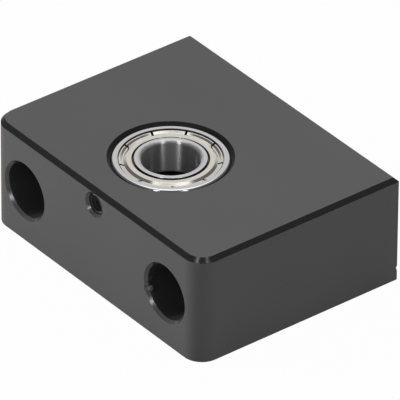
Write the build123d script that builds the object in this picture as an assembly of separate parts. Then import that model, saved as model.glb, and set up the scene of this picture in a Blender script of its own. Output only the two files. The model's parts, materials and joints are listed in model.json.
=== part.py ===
from build123d import *
import math
import os

# End support for a lead screw: an anodised block with a shielded ball bearing pressed into its top.
# Millimetres, +Z up. The origin is the middle of the block's underside, X runs along the block's
# width, and +Y points out of the back face, which is bolted to the machine's frame.

# Block
BLOCK_WIDTH = 45.0
BLOCK_HEIGHT = 16.4
SCREW_TO_BACK = 20.9
SCREW_TO_FRONT = 12.9
FRONT_CORNER_RADIUS = 3.0
TOP_CHAMFER = 0.6
EDGE_BREAK = 0.15

# Holes for the two frame bolts, from front to back
BOLT_SPACING = 30.5
BOLT_HEIGHT = 8.0
BOLT_HOLE_RADIUS = 2.25
HEAD_BORE_RADIUS = 4.0
HEAD_SEAT_WALL = 10.0
HEAD_BORE_CHAMFER = 0.4

# Passage for the screw below the bearing
PASSAGE_RADIUS = 6.0
PASSAGE_CHAMFER = 0.4

# Small dent in the upright edge at the back right
DENT_HEIGHT = 1.9
DENT_RADIUS = 0.6
DENT_DEPTH = 0.25

# Bearing, 8 x 16 x 5
SCREW_BORE_RADIUS = 4.0
RING_OUTER_RADIUS = 8.0
BEARING_WIDTH = 5.0
BEARING_RECESS = 0.2
RING_FACE_WIDTH = 0.93
SEAT_CLEARANCE = 0.01
SEAT_MOUTH_CHAMFER = 0.55
BORE_CHAMFER = 0.27
OUTER_CHAMFER = 0.15
FACE_EDGE_BREAK = 0.05

# Balls and raceways
BALL_RADIUS = 1.1905
BALL_COUNT = 9
BALL_PLAY = 0.01
GROOVE_CONFORMITY = 1.04
LAND_OFFSET = 0.75

# Shields, one in each side of the bearing, and their seats in the rings
SHIELD_SHEET = 0.2
SHIELD_DROP = 0.1
SHIELD_BORE_GAP = 0.3
SHIELD_VALLEY_WIDTH = 0.2
SHIELD_VALLEY_DROP = 0.46
SHIELD_SLOPE_WIDTH = 0.45
SHIELD_RIM_WIDTH = 0.2
SHIELD_RIM_DROP = 0.16
SHIELD_SLOT_COUNT = 9
SHIELD_SLOT_WIDTH = 0.3
SHIELD_SLOT_TURN = 4.2
SHIELD_SEAT_DROP = 0.55
STEP_WALL = 0.08
RIM_GAP = 0.09
CRIMP_GROOVE_DEPTH = 0.13
CRIMP_LIP = 0.3
CRIMP_FIT = 0.03

# Cage, two halves of thin sheet that the lower half's prongs hold together
CAGE_SHEET = 0.2
CAGE_GAP = 0.2
POCKET_PLAY = 0.04
PRONG_WIDTH = 0.5
PRONG_THICKNESS = 0.12
PRONG_FOLD = 0.28
PRONG_FIT = 0.01

# Grub screw that holds the bearing, M3 with a cup point
GRUB_RADIUS = 1.5
GRUB_LENGTH = 3.0
GRUB_FROM_TOP = 2.5
GRUB_FIT = 0.01
GRUB_END_CHAMFER = 0.3
GRUB_HOLE_CHAMFER = 0.35
GRUB_SOCKET_FLATS = 1.5
GRUB_SOCKET_DEPTH = 1.2
GRUB_CUP_RADIUS = 0.7

# Places that follow from the sizes above
BLOCK_DEPTH = SCREW_TO_BACK + SCREW_TO_FRONT
FRONT_Y = -BLOCK_DEPTH / 2
BACK_Y = BLOCK_DEPTH / 2
SCREW_Y = FRONT_Y + SCREW_TO_FRONT
HALF_WIDTH = BEARING_WIDTH / 2
SEAT_DEPTH = BEARING_RECESS + BEARING_WIDTH
BEARING_PLACE = Pos(0, SCREW_Y, BLOCK_HEIGHT - BEARING_RECESS - HALF_WIDTH)
PITCH_RADIUS = (SCREW_BORE_RADIUS + RING_OUTER_RADIUS) / 2
BALL_STEP = 360 / BALL_COUNT
POCKET_RADIUS = BALL_RADIUS + POCKET_PLAY
INNER_LAND_RADIUS = PITCH_RADIUS - LAND_OFFSET
OUTER_LAND_RADIUS = PITCH_RADIUS + LAND_OFFSET
CAGE_INNER_RADIUS = INNER_LAND_RADIUS + CAGE_GAP
CAGE_OUTER_RADIUS = OUTER_LAND_RADIUS - CAGE_GAP
INNER_FACE_RADIUS = SCREW_BORE_RADIUS + RING_FACE_WIDTH
SHIELD_MOUTH_RADIUS = RING_OUTER_RADIUS - RING_FACE_WIDTH
CRIMP_GROOVE_RADIUS = SHIELD_MOUTH_RADIUS + CRIMP_GROOVE_DEPTH
SHIELD_BORE_RADIUS = INNER_FACE_RADIUS + SHIELD_BORE_GAP
SHIELD_RIM_OUTER_RADIUS = SHIELD_MOUTH_RADIUS - RIM_GAP
SHIELD_RIM_INNER_RADIUS = SHIELD_RIM_OUTER_RADIUS - SHIELD_RIM_WIDTH
SHIELD_VALLEY_RADIUS = SHIELD_RIM_INNER_RADIUS - SHIELD_SLOPE_WIDTH
SHIELD_FLAT_RADIUS = SHIELD_VALLEY_RADIUS - SHIELD_VALLEY_WIDTH

# Working planes on the block's faces, each with its Z out of the block
FRONT_PLANE = Plane(origin=(0, FRONT_Y, 0), x_dir=(1, 0, 0), z_dir=(0, -1, 0))
TOP_PLANE = Plane(origin=(0, SCREW_Y, BLOCK_HEIGHT), x_dir=(1, 0, 0), z_dir=(0, 0, 1))
UNDER_PLANE = Plane(origin=(0, SCREW_Y, 0), x_dir=(1, 0, 0), z_dir=(0, 0, -1))

FROM_FACE = (Align.CENTER, Align.CENTER, Align.MAX)
ON_FACE = (Align.CENTER, Align.CENTER, Align.MIN)


def drilled(radius, depth, mouth_chamfer):
    """A hole's space, from the face down, with its chamfered mouth."""
    hole = Cylinder(radius, depth, align=FROM_FACE)
    mouth = Cone(radius, radius + mouth_chamfer, mouth_chamfer, align=FROM_FACE)
    return hole + mouth


def dent():
    """A shallow knock in the sharp upright edge at the back right."""
    outward = (DENT_RADIUS - DENT_DEPTH) / math.sqrt(2)
    place = Pos(BLOCK_WIDTH / 2 + outward, BACK_Y + outward, DENT_HEIGHT)
    return place * Sphere(DENT_RADIUS)


def block():
    """The machined block with its bearing seat, screw passage, bolt holes and tapped hole."""
    body = Box(BLOCK_WIDTH, BLOCK_DEPTH, BLOCK_HEIGHT, align=ON_FACE)
    body = fillet(body.edges().filter_by(Axis.Z).group_by(Axis.Y)[0], FRONT_CORNER_RADIUS)
    body = chamfer(body.faces().sort_by(Axis.Z)[-1].edges(), TOP_CHAMFER)
    body = chamfer(body.faces().sort_by(Axis.Z)[0].edges(), EDGE_BREAK)
    body = chamfer(body.edges().filter_by(Axis.Z).group_by(Axis.Y)[-1], EDGE_BREAK)

    body -= TOP_PLANE * drilled(RING_OUTER_RADIUS + SEAT_CLEARANCE, SEAT_DEPTH, SEAT_MOUTH_CHAMFER)
    body -= UNDER_PLANE * drilled(PASSAGE_RADIUS, BLOCK_HEIGHT, PASSAGE_CHAMFER)
    for x in (-BOLT_SPACING / 2, BOLT_SPACING / 2):
        axis = FRONT_PLANE * Pos(x, BOLT_HEIGHT, 0)
        body -= axis * drilled(HEAD_BORE_RADIUS, BLOCK_DEPTH - HEAD_SEAT_WALL, HEAD_BORE_CHAMFER)
        body -= axis * Cylinder(BOLT_HOLE_RADIUS, BLOCK_DEPTH, align=FROM_FACE)
    grub_axis = FRONT_PLANE * Pos(0, BLOCK_HEIGHT - GRUB_FROM_TOP, 0)
    body -= grub_axis * drilled(GRUB_RADIUS, SCREW_TO_FRONT - PITCH_RADIUS, GRUB_HOLE_CHAMFER)
    return body - dent()


def ring_section(upper_half, chamfers):
    """A bearing ring's section, mirrored from its upper half, with some of its corners chamfered.

    upper_half lists radius and height points, and chamfers gives a size for a listed point.
    """
    lower_half = [(radius, -height) for radius, height in reversed(upper_half)]
    section = make_face(Polyline(*upper_half, *lower_half, close=True))
    for (at_radius, at_height), size in chamfers.items():
        corners = [
            corner
            for corner in section.vertices()
            if math.isclose(corner.X, at_radius) and math.isclose(abs(corner.Y), at_height)
        ]
        section = chamfer(corners, size)
    return section


def raceway(groove_bottom, side):
    """The section of a ball groove; side is 1 where the groove's middle lies outside its bottom."""
    groove_radius = BALL_RADIUS * GROOVE_CONFORMITY
    return Pos(groove_bottom + side * groove_radius, 0) * Circle(groove_radius)


def inner_ring():
    """The ring that turns with the screw, with a step at each face that clears the shield."""
    step_height = HALF_WIDTH - SHIELD_SEAT_DROP
    bore_corner = (SCREW_BORE_RADIUS, HALF_WIDTH)
    face_corner = (INNER_FACE_RADIUS, HALF_WIDTH)
    upper_half = [
        bore_corner,
        face_corner,
        (INNER_FACE_RADIUS, step_height),
        (INNER_LAND_RADIUS, step_height),
    ]
    section = ring_section(upper_half, {bore_corner: BORE_CHAMFER, face_corner: FACE_EDGE_BREAK})
    section -= raceway(PITCH_RADIUS - BALL_RADIUS - BALL_PLAY, 1)
    return BEARING_PLACE * revolve(Plane.XZ * section, Axis.Z)


def outer_ring():
    """The ring that sits in the block, with a groove at each face that holds a shield's rim."""
    seat_height = HALF_WIDTH - SHIELD_SEAT_DROP
    lip_height = HALF_WIDTH - CRIMP_LIP
    outer_corner = (RING_OUTER_RADIUS, HALF_WIDTH)
    mouth_corner = (SHIELD_MOUTH_RADIUS, HALF_WIDTH)
    upper_half = [
        (OUTER_LAND_RADIUS, seat_height),
        (CRIMP_GROOVE_RADIUS, seat_height),
        (CRIMP_GROOVE_RADIUS, lip_height),
        (SHIELD_MOUTH_RADIUS, lip_height),
        mouth_corner,
        outer_corner,
    ]
    section = ring_section(upper_half, {outer_corner: OUTER_CHAMFER, mouth_corner: FACE_EDGE_BREAK})
    section -= raceway(PITCH_RADIUS + BALL_RADIUS + BALL_PLAY, -1)
    return BEARING_PLACE * revolve(Plane.XZ * section, Axis.Z)


def shield():
    """The upper shield: a flat, a valley and a slotted rim crimped into the outer ring."""
    flat = HALF_WIDTH - SHIELD_DROP
    valley = HALF_WIDTH - SHIELD_VALLEY_DROP
    rim = HALF_WIDTH - SHIELD_RIM_DROP
    seat = HALF_WIDTH - SHIELD_SEAT_DROP
    crimp_radius = CRIMP_GROOVE_RADIUS - CRIMP_FIT
    crimp_top = HALF_WIDTH - CRIMP_LIP - CRIMP_FIT
    top_side = [
        (SHIELD_BORE_RADIUS, flat),
        (SHIELD_FLAT_RADIUS, flat),
        (SHIELD_FLAT_RADIUS + STEP_WALL, valley),
        (SHIELD_VALLEY_RADIUS, valley),
        (SHIELD_RIM_INNER_RADIUS, rim),
        (SHIELD_RIM_OUTER_RADIUS, rim),
        (SHIELD_RIM_OUTER_RADIUS, crimp_top),
        (crimp_radius, crimp_top),
    ]
    underside = [
        (crimp_radius, seat),
        (OUTER_LAND_RADIUS - STEP_WALL, seat),
        (SHIELD_VALLEY_RADIUS + STEP_WALL, valley - SHIELD_SHEET),
        (SHIELD_FLAT_RADIUS, valley - SHIELD_SHEET),
        (SHIELD_FLAT_RADIUS - STEP_WALL, flat - SHIELD_SHEET),
        (SHIELD_BORE_RADIUS, flat - SHIELD_SHEET),
    ]
    section = make_face(Polyline(*top_side, *underside, close=True))
    disc = revolve(Plane.XZ * section, Axis.Z)
    slot_start = SHIELD_FLAT_RADIUS + STEP_WALL
    slot_length = RING_OUTER_RADIUS - slot_start
    slot = Box(slot_length, SHIELD_SLOT_WIDTH, BEARING_WIDTH, align=(Align.MIN, Align.CENTER, Align.MIN))
    for index in range(SHIELD_SLOT_COUNT):
        angle = SHIELD_SLOT_TURN + index * 360 / SHIELD_SLOT_COUNT
        disc -= Rot(0, 0, angle) * Pos(slot_start, 0, 0) * slot
    return disc


def ball_place(index):
    """The place of a ball on the pitch circle."""
    return Rot(0, 0, index * BALL_STEP) * Pos(PITCH_RADIUS, 0, 0)


def cage_band(height, edge=0.0):
    """A tube of the cage's own width that stands on its middle plane, or its two edges alone.

    edge is the width of the strips that stay along the inner and the outer edge.
    """
    band = Cylinder(CAGE_OUTER_RADIUS, height, align=ON_FACE)
    band -= Cylinder(CAGE_INNER_RADIUS, height, align=ON_FACE)
    if edge > 0:
        middle = Cylinder(CAGE_OUTER_RADIUS - edge, height, align=ON_FACE)
        band -= middle - Cylinder(CAGE_INNER_RADIUS + edge, height, align=ON_FACE)
    return band


def cage_blank():
    """The upper half of the ribbon cage before its notches: a flat ring, bent up over each ball."""
    bend_radius = POCKET_RADIUS + CAGE_SHEET
    band = cage_band(bend_radius)
    blank = cage_band(CAGE_SHEET)
    for index in range(BALL_COUNT):
        bend = Rot(0, 90, 0) * Cylinder(bend_radius, 2 * BALL_RADIUS)
        blank += band & (ball_place(index) * bend)
    for index in range(BALL_COUNT):
        pocket = Rot(0, 90, 0) * Cylinder(POCKET_RADIUS, 2 * BALL_RADIUS)
        blank -= ball_place(index) * pocket
    return blank


def between_balls(index, width, shape):
    """The stretch of a shape on the cage that lies midway between two balls."""
    window = Box(2 * CAGE_OUTER_RADIUS, width, BEARING_WIDTH, align=(Align.MIN, Align.CENTER, Align.CENTER))
    return shape & (Rot(0, 0, (index + 0.5) * BALL_STEP) * window)


def upper_cage_half():
    """The cage half that the prongs hold, with a notch in its edges for each of them."""
    half = cage_blank()
    notched_edges = cage_band(CAGE_SHEET, PRONG_THICKNESS + PRONG_FIT)
    for index in range(BALL_COUNT):
        half -= between_balls(index, PRONG_WIDTH + 2 * PRONG_FIT, notched_edges)
    return half


def lower_cage_half():
    """The cage half with the prongs, which rise through the notches and fold over the upper half."""
    half = cage_blank().mirror(Plane.XY)
    fold_height = CAGE_SHEET + PRONG_FIT
    uprights = cage_band(CAGE_SHEET + fold_height + PRONG_THICKNESS, PRONG_THICKNESS)
    folds = cage_band(PRONG_THICKNESS, PRONG_FOLD)
    prongs = Pos(0, 0, -CAGE_SHEET) * uprights + Pos(0, 0, fold_height) * folds
    for index in range(BALL_COUNT):
        half += between_balls(index, PRONG_WIDTH, prongs)
    return half


def grub_screw():
    """The headless screw behind the small front hole, its cup point against the outer ring."""
    point_y = SCREW_Y - RING_OUTER_RADIUS
    body = Cylinder(GRUB_RADIUS - GRUB_FIT, GRUB_LENGTH, align=ON_FACE)
    body = chamfer(body.edges().filter_by(GeomType.CIRCLE), GRUB_END_CHAMFER)
    socket = RegularPolygon(GRUB_SOCKET_FLATS / 2, 6, major_radius=False)
    body -= Pos(0, 0, GRUB_LENGTH - GRUB_SOCKET_DEPTH) * extrude(socket, GRUB_SOCKET_DEPTH)
    body -= Cone(GRUB_CUP_RADIUS, 0, GRUB_CUP_RADIUS, align=ON_FACE)
    place = Plane(origin=(0, point_y, BLOCK_HEIGHT - GRUB_FROM_TOP), x_dir=(1, 0, 0), z_dir=(0, -1, 0))
    return place * body


def write(shape, node):
    """Write one piece of the assembly."""
    export_step(shape, f"parts/{node}.step")


os.makedirs("parts", exist_ok=True)

write(block(), "bearing_block")
write(grub_screw(), "bearing_set_screw")
write(outer_ring(), "outer_ring")
write(inner_ring(), "inner_ring")

upper_shield = shield()
write(BEARING_PLACE * upper_shield, "upper_shield")
write(BEARING_PLACE * upper_shield.mirror(Plane.XY), "lower_shield")

write(BEARING_PLACE * upper_cage_half(), "upper_cage_half")
write(BEARING_PLACE * lower_cage_half(), "lower_cage_half")

for index in range(BALL_COUNT):
    write(BEARING_PLACE * ball_place(index) * Sphere(BALL_RADIUS), f"ball_{index + 1}")
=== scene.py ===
"""Looks of a lead screw's end support: an anodised block with a shielded ball bearing in its top.

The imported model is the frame. Every size here is in millimetres and becomes metres where a mesh is
made. The block, the bearing rings, the shields and the set screw get finer meshes of the same form,
with their small rounds and threads. The balls and the cage keep their own meshes and get a finish.
"""

import json
import logging
import math
from dataclasses import dataclass, field, replace
from enum import Enum, IntEnum
from typing import Any, Iterable, Sequence

import bpy
from mathutils import Matrix, Vector, noise

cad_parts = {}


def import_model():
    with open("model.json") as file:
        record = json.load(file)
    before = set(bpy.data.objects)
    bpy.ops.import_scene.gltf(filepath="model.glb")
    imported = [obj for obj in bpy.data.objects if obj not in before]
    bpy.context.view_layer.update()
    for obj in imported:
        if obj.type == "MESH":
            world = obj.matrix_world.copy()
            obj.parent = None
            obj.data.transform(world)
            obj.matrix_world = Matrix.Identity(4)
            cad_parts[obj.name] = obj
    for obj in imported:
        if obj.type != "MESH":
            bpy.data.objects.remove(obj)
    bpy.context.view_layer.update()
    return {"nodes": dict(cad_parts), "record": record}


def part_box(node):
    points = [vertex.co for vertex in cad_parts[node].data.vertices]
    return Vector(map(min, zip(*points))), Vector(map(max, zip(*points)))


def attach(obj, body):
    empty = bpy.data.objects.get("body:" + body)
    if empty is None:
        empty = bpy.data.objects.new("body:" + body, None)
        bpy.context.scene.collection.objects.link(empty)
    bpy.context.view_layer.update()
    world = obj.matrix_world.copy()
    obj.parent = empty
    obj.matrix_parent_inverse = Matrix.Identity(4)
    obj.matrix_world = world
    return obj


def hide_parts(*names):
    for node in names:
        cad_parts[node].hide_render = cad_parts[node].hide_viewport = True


MM = 0.001
TINY = 1e-6
SEAT_PLAY = 0.01
TAPPED_RADIUS = 1.5
# The colour sockets of a Mix node, which share their names with its other sockets.
MIX_A, MIX_B, MIX_OUT = 6, 7, 2
LOG = logging.getLogger("screw_support")

Pair = tuple[float, float]
Inputs = dict[str | int, Any]
Tree, Node, Socket = bpy.types.NodeTree, bpy.types.Node, bpy.types.NodeSocket
Piece = bpy.types.Object


def linear(hex_colour: str) -> tuple[float, float, float, float]:
    """Turn a colour from sRGB into linear light.

    Args:
        hex_colour: The colour, as "#rrggbb".

    Returns:
        Linear red, green and blue, and an alpha of 1.
    """
    shares = [int(hex_colour[i : i + 2], 16) / 255 for i in (1, 3, 5)]
    levels = [s / 12.92 if s <= 0.04045 else ((s + 0.055) / 1.055) ** 2.4 for s in shares]
    return (*levels, 1.0)


def polar(radius: float, angle: float) -> Pair:
    """The point at a distance from the origin and an angle in degrees."""
    turn = math.radians(angle)
    return radius * math.cos(turn), radius * math.sin(turn)


def direction(around: float, up: float) -> Vector:
    """The way to an azimuth and an elevation in degrees, of length 1."""
    level, rise = polar(1.0, up)
    return Vector((*polar(level, around), rise))


def add_object(name: str, data: bpy.types.ID) -> Piece:
    """Make an object and put it in the scene.

    Args:
        name: Its name.
        data: Its mesh, lamp or camera.

    Returns:
        The new object.
    """
    made = bpy.data.objects.new(name, data)
    bpy.context.scene.collection.objects.link(made)
    return made


def add_node(tree: Tree, kind: str, inputs: Inputs | None = None, **settings: Any) -> Node:
    """Add a node with its settings and its inputs.

    Args:
        tree: The node tree.
        kind: The node's type.
        inputs: For each input, by name or number, its value, the output that feeds it, or a node
            whose first output feeds it.
        settings: Properties of the node.

    Returns:
        The new node.
    """
    node = tree.nodes.new(kind)
    for name, value in settings.items():
        setattr(node, name, value)
    for socket, given in (inputs or {}).items():
        source = given.outputs[0] if isinstance(given, Node) else given
        if isinstance(source, Socket):
            tree.links.new(source, node.inputs[socket])
        else:
            node.inputs[socket].default_value = source
    return node


@dataclass(frozen=True)
class Grain:
    """A surface's fine marks: their noise, and how they change its sheen and its height."""

    size: float
    detail: float
    noise_roughness: float
    sheen_spread: float
    bump: float
    depth: float


class Finish:
    """What every finish has in common: a named material, and marks in its sheen and height."""

    name: str = ""
    roughness: float = 0.5

    def shade(self, tree: Tree, where: Socket) -> Node:
        """Add the finish's nodes, where being Object coordinates, and return the shader."""
        raise NotImplementedError

    def material(self) -> bpy.types.Material:
        """Make the material once and return it after that.

        Returns:
            The material.
        """
        made = bpy.data.materials.get(self.name)
        if made is not None:
            return made
        made = bpy.data.materials.new(self.name)
        made.use_nodes = True
        tree = made.node_tree
        tree.nodes.clear()
        where = add_node(tree, "ShaderNodeTexCoord").outputs["Object"]
        add_node(tree, "ShaderNodeOutputMaterial", {"Surface": self.shade(tree, where)})
        return made

    def _marked(
        self,
        tree: Tree,
        where: Socket,
        grain: Grain,
        looks: Inputs,
        height: Node | None = None,
    ) -> Node:
        """Add a Principled shader whose sheen and height vary with the finish's marks.

        Args:
            tree: The material's node tree.
            where: Object coordinates, in metres.
            grain: The marks.
            looks: The shader's other inputs.
            height: What the height follows in place of the marks.

        Returns:
            The shader node.
        """
        noise_inputs = {
            "Scale": 1 / (grain.size * MM),
            "Detail": grain.detail,
            "Roughness": grain.noise_roughness,
            "Vector": where,
        }
        marks = add_node(tree, "ShaderNodeTexNoise", noise_inputs)
        least, most = self.roughness - grain.sheen_spread, self.roughness + grain.sheen_spread
        sheen = add_node(
            tree, "ShaderNodeMapRange", {"To Min": least, "To Max": most, "Value": marks}
        )
        relief = {"Strength": grain.bump, "Distance": grain.depth * MM, "Height": height or marks}
        normal = add_node(tree, "ShaderNodeBump", relief)
        looks = {**looks, "Roughness": sheen, "Normal": normal}
        return add_node(tree, "ShaderNodeBsdfPrincipled", looks)


@dataclass(frozen=True)
class BlastedAnodise(Finish):
    """Black anodised aluminium, bead blasted: an even, satin charcoal with no direction to it."""

    name: str = "black anodised aluminium, bead blasted"
    colour: str = "#555556"
    pale_colour: str = "#5b5b5b"
    roughness: float = 0.52
    oxide_ior: float = 1.62
    cloud_size: float = 14.0
    bead_mark: float = 0.16
    bead_depth: float = 0.0035

    def shade(self, tree: Tree, where: Socket) -> Node:
        """Dye that varies a little over the faces, and bead marks drawn twice their real size.

        Args:
            tree: The material's node tree.
            where: Object coordinates, in metres.

        Returns:
            The shader node.
        """
        clouds = {"Scale": 1 / (self.cloud_size * MM), "Detail": 2.0, "Roughness": 0.4}
        cloud = add_node(tree, "ShaderNodeTexNoise", {**clouds, "Vector": where})
        dyes = {MIX_A: linear(self.colour), MIX_B: linear(self.pale_colour), "Factor": cloud}
        dye = add_node(tree, "ShaderNodeMix", dyes, data_type="RGBA").outputs[MIX_OUT]
        beads = Grain(
            size=self.bead_mark,
            detail=3.0,
            noise_roughness=0.6,
            sheen_spread=0.03,
            bump=0.35,
            depth=self.bead_depth,
        )
        return self._marked(tree, where, beads, {"IOR": self.oxide_ior, "Base Color": dye})


@dataclass(frozen=True)
class MachinedBlack(Finish):
    """A dark oxide on a fresh cut: smoother than the blasted faces, so it looks deeper."""

    name: str = "black anodised aluminium, machined chamfer"
    colour: str = "#1b1b1c"
    roughness: float = 0.23
    oxide_ior: float = 1.77
    cutter_line: float = 0.15
    line_depth: float = 0.0005

    def shade(self, tree: Tree, where: Socket) -> Node:
        """Fine cutter chatter in the roughness and the bump.

        Args:
            tree: The material's node tree.
            where: Object coordinates, in metres.

        Returns:
            The shader node.
        """
        lines = Grain(
            size=self.cutter_line,
            detail=2.0,
            noise_roughness=0.5,
            sheen_spread=0.05,
            bump=0.3,
            depth=self.line_depth,
        )
        looks = {"Base Color": linear(self.colour), "IOR": self.oxide_ior}
        return self._marked(tree, where, lines, looks)


class Lay(Enum):
    """Which way the fine lines of a ground or turned surface run."""

    RINGS = "rings around the part's own axis, on its faces and along its bore"
    NONE = "no direction"


@dataclass(frozen=True)
class Steel(Finish):
    """Bright steel: hardened and ground, pressed or polished, by its lay and roughness."""

    name: str = "hardened bearing steel, ground"
    colour: str = "#e3e3e5"
    roughness: float = 0.16
    lay: Lay = Lay.RINGS
    anisotropy: float = 0.35
    lay_turn: float = 0.25
    centre: Pair = (0.0, 0.0)
    line_pitch: float = 0.05
    line_depth: float = 0.0006
    line_strength: float = 0.25
    mottle_size: float = 1.5
    mottle_share: float = 0.15

    def _lines(self, tree: Tree, where: Socket) -> Node:
        """A height that changes with the distance from the axis and along it, as grinding lines do.

        Real lines are too fine to show, so these are drawn a few times as coarse.

        Args:
            tree: The material's node tree.
            where: Object coordinates, in metres.

        Returns:
            The node that gives the height.
        """
        shift = (-self.centre[0] * MM, -self.centre[1] * MM, 0.0)
        centred = add_node(tree, "ShaderNodeMapping", {"Location": shift, "Vector": where})
        x, y, z = add_node(tree, "ShaderNodeSeparateXYZ", {"Vector": centred}).outputs
        flat = add_node(tree, "ShaderNodeCombineXYZ", {"X": x, "Y": y})
        length = add_node(tree, "ShaderNodeVectorMath", {0: flat}, operation="LENGTH")
        along = add_node(tree, "ShaderNodeCombineXYZ", {"X": length.outputs["Value"], "Y": z})
        lines = {"Scale": 1 / (self.line_pitch * MM), "Detail": 2.0, "Roughness": 0.55}
        return add_node(tree, "ShaderNodeTexNoise", {**lines, "Vector": along})

    def shade(self, tree: Tree, where: Socket) -> Node:
        """Fine lines in the bump where the surface has a lay, and a faint mottle in its sheen.

        Args:
            tree: The material's node tree.
            where: Object coordinates, in metres.

        Returns:
            The shader node.
        """
        mottle = Grain(
            size=self.mottle_size,
            detail=3.0,
            noise_roughness=0.5,
            sheen_spread=self.roughness * self.mottle_share,
            bump=self.line_strength,
            depth=self.line_depth,
        )
        looks: Inputs = {"Base Color": linear(self.colour), "Metallic": 1.0}
        if self.lay is Lay.NONE:
            return self._marked(tree, where, mottle, looks)
        looks["Tangent"] = add_node(tree, "ShaderNodeTangent", direction_type="RADIAL", axis="Z")
        looks |= {"Anisotropic": self.anisotropy, "Anisotropic Rotation": self.lay_turn}
        return self._marked(tree, where, mottle, looks, self._lines(tree, where))


@dataclass(frozen=True)
class Paper(Finish):
    """Matt backdrop paper, near white for the camera and not there from below."""

    name: str = "backdrop paper, matt"
    colour: str = "#c6c6c6"
    roughness: float = 0.9
    glow: float = 0.98

    def shade(self, tree: Tree, where: Socket) -> Node:
        """Plain paper, which the camera's own rays see lit up.

        Args:
            tree: The material's node tree.
            where: Object coordinates, in metres.

        Returns:
            The shader node.
        """
        looks = {"Base Color": linear(self.colour), "Roughness": self.roughness}
        sheet = add_node(tree, "ShaderNodeBsdfPrincipled", looks)
        white = add_node(tree, "ShaderNodeEmission")
        seen = add_node(tree, "ShaderNodeLightPath").outputs["Is Camera Ray"]
        share = add_node(tree, "ShaderNodeMath", {0: seen, 1: self.glow}, operation="MULTIPLY")
        shown = add_node(tree, "ShaderNodeMixShader", {0: share, 1: sheet, 2: white})
        below = add_node(tree, "ShaderNodeNewGeometry").outputs["Backfacing"]
        clear = add_node(tree, "ShaderNodeBsdfTransparent")
        return add_node(tree, "ShaderNodeMixShader", {0: below, 1: shown, 2: clear})


@dataclass(frozen=True)
class Corner:
    """A corner of a section in millimetres, its rounding and the slot of the finish after it."""

    across: float
    up: float
    radius: float = 0.0
    slot: int = 0


@dataclass(frozen=True)
class Bend:
    """A stretch of circle in a section, from one angle to another in degrees, and its slot."""

    across: float
    up: float
    radius: float
    start: float
    end: float
    slot: int = 0

    def at(self, angle: float) -> Pair:
        """The point at an angle in degrees."""
        across, up = polar(self.radius, angle)
        return (self.across + across, self.up + up)


@dataclass(frozen=True)
class Stretch:
    """One short straight stretch of a traced section, with its surface's direction at both ends."""

    begin: Pair
    begin_normal: Pair
    end: Pair
    end_normal: Pair
    slot: int


@dataclass(frozen=True)
class Section:
    """A section whose inside lies to the left of its line, with rounded corners.

    Its across is a distance from an axis, or from the block's outline, and its up a height.
    """

    parts: Sequence[Corner | Bend]
    closed: bool = True
    step: float = 15.0
    bend_step: float = 5.0

    @classmethod
    def of(cls, *parts: tuple | Bend, closed: bool = True) -> "Section":
        """A section of bends and of corners, each given by its values."""
        return cls([p if isinstance(p, Bend) else Corner(*p) for p in parts], closed)

    def _ends(self, part: Corner | Bend) -> tuple[Pair, Pair]:
        """Where a part of the section begins and ends, before any rounding.

        Args:
            part: The corner or bend.

        Returns:
            Its first and its last point.
        """
        if isinstance(part, Bend):
            return part.at(part.start), part.at(part.end)
        return (part.across, part.up), (part.across, part.up)

    def _round(self, part: Corner, before: Pair, after: Pair) -> list[tuple[Pair, Pair]]:
        """Points and normals of a rounded corner, or no points for a sharp one.

        Args:
            part: The corner.
            before: Where the line comes from.
            after: Where it goes to.

        Returns:
            Points with the surface's direction at each.
        """
        here = Vector((part.across, part.up))
        back = (Vector(before) - here).normalized()
        ahead = (Vector(after) - here).normalized()
        opening = back.angle(ahead)
        reach = part.radius / math.tan(opening / 2)
        middle = here + (back + ahead).normalized() * part.radius / math.sin(opening / 2)
        first = here + back * reach - middle
        last = here + ahead * reach - middle
        outward = Vector((-back.y, back.x))
        side = 1.0 if first.dot(outward) > 0 else -1.0
        turn = first.angle_signed(last)
        count = max(2, round(abs(math.degrees(turn)) / self.step))
        found = []
        for index in range(count + 1):
            spoke = first.copy()
            spoke.rotate(Matrix.Rotation(-turn * index / count, 2))
            found.append((tuple(middle + spoke), tuple(spoke.normalized() * side)))
        return found

    def _bend(self, part: Bend) -> list[tuple[Pair, Pair]]:
        """Points and normals along a stretch of circle.

        Args:
            part: The bend.

        Returns:
            Points with the surface's direction at each.
        """
        side = 1.0 if part.end > part.start else -1.0
        count = max(2, round(abs(part.end - part.start) / self.bend_step))
        found = []
        for index in range(count + 1):
            angle = part.start + (part.end - part.start) * index / count
            found.append((part.at(angle), polar(side, angle)))
        return found

    def stretches(self) -> list[Stretch]:
        """Trace the section.

        Returns:
            Its short straight stretches, in order.
        """
        parts = list(self.parts)
        total = len(parts)
        runs = []
        for index, part in enumerate(parts):
            before = self._ends(parts[index - 1])[1]
            after = self._ends(parts[(index + 1) % total])[0]
            if isinstance(part, Bend):
                runs.append(self._bend(part))
            elif part.radius > 0:
                runs.append(self._round(part, before, after))
            else:
                runs.append([((part.across, part.up), (0.0, 0.0))])
        found = []
        for index, part in enumerate(parts):
            slot = part.slot if isinstance(part, Bend) else max(parts[index - 1].slot, part.slot)
            for (begin, first), (end, last) in zip(runs[index], runs[index][1:]):
                found.append(Stretch(begin, first, end, last, slot))
            if index == total - 1 and not self.closed:
                break
            begin, end = runs[index][-1][0], runs[(index + 1) % total][0][0]
            along = Vector(end) - Vector(begin)
            if along.length > TINY:
                normal = (along.y / along.length, -along.x / along.length)
                found.append(Stretch(begin, normal, end, normal, part.slot))
        return found


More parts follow.
